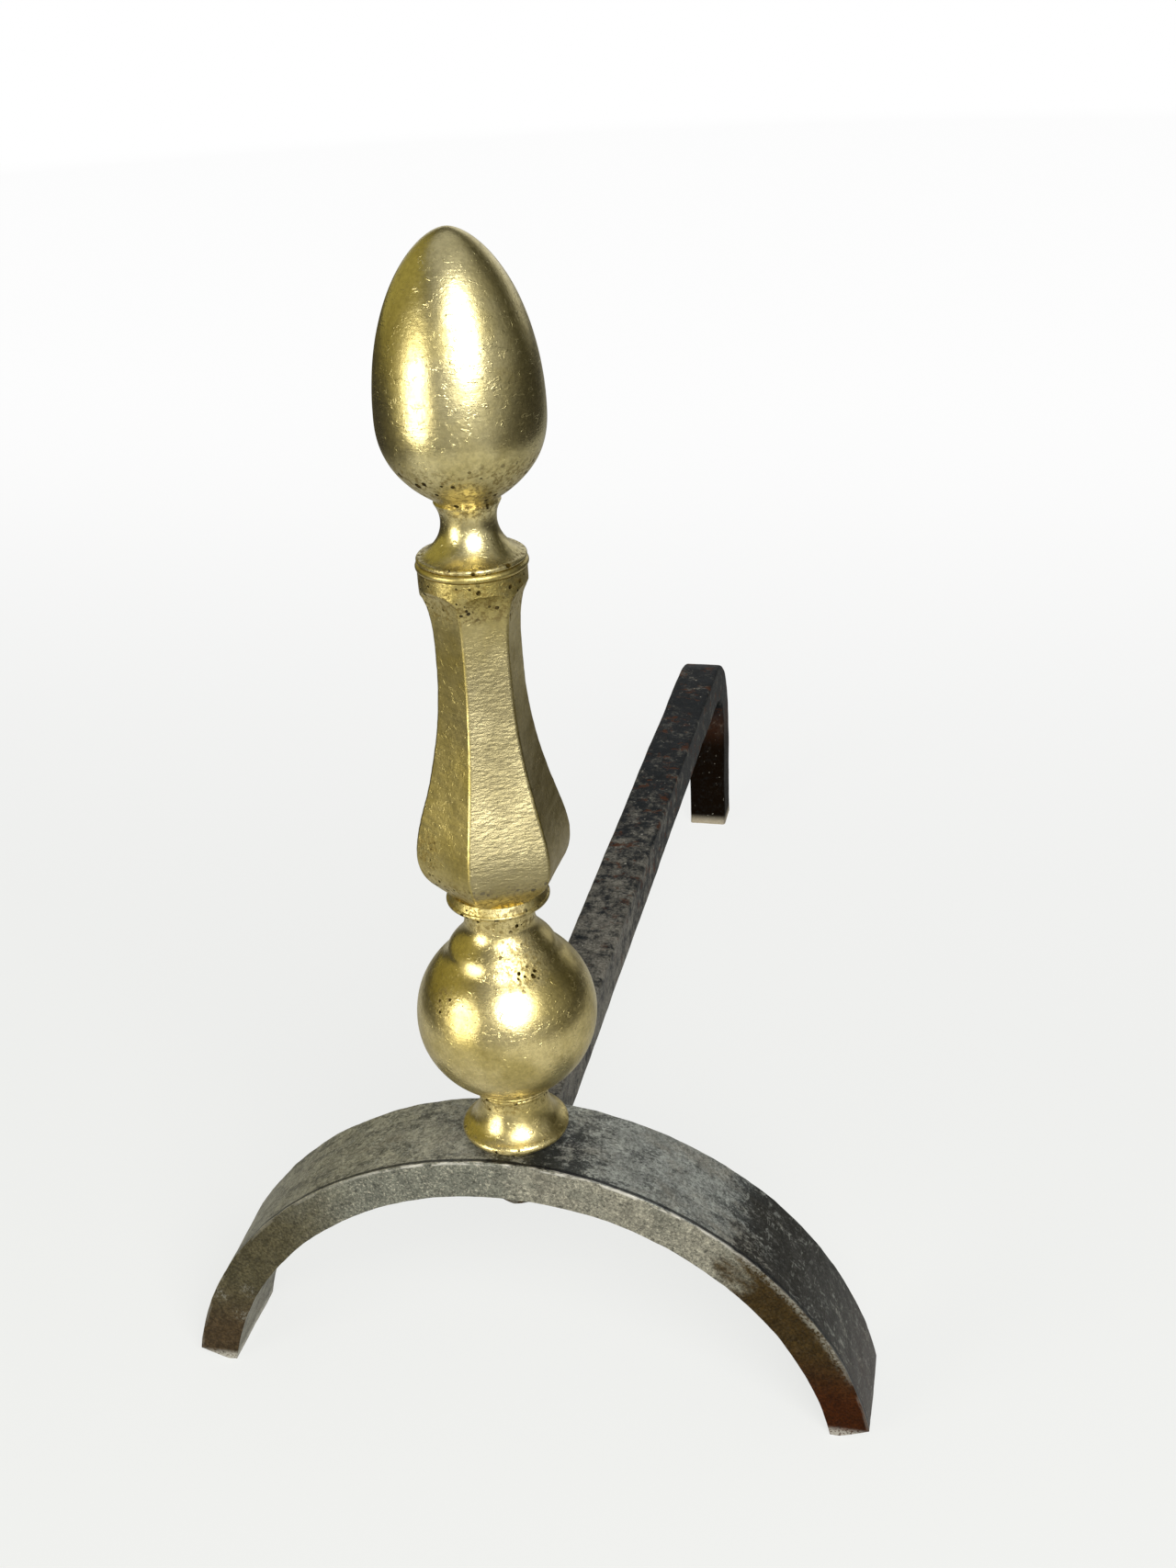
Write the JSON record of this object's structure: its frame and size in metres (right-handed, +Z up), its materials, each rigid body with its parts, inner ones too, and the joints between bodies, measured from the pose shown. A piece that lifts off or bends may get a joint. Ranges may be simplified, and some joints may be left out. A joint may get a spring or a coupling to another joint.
{
  "type": "andiron",
  "caption": "Andiron with a turned brass post, hexagonal column and acorn finial on an arched wrought-iron front, with a square billet bar bent down into the rear leg.",
  "frame": {"origin": "on the floor, under the middle of the whole piece's box", "axes": "+Z up, +Y from the post towards the rear leg along the billet bar, +X to the right as seen from the front"},
  "size_m": [0.238, 0.4546, 0.3905],
  "materials": {
    "wrought_iron": "forged, blackened, worn bright on its edges",
    "rod_iron": "dull",
    "brass": "aged satin polish"
  },
  "bodies": {
    "root": {"front_arch": "wrought_iron", "billet_bar": "wrought_iron", "tie_rod": "rod_iron", "rod_washer": "rod_iron", "rod_nut": "rod_iron", "pedestal": "brass", "ball": "brass", "column": "brass", "finial": "brass"}
  },
  "joints": []
}
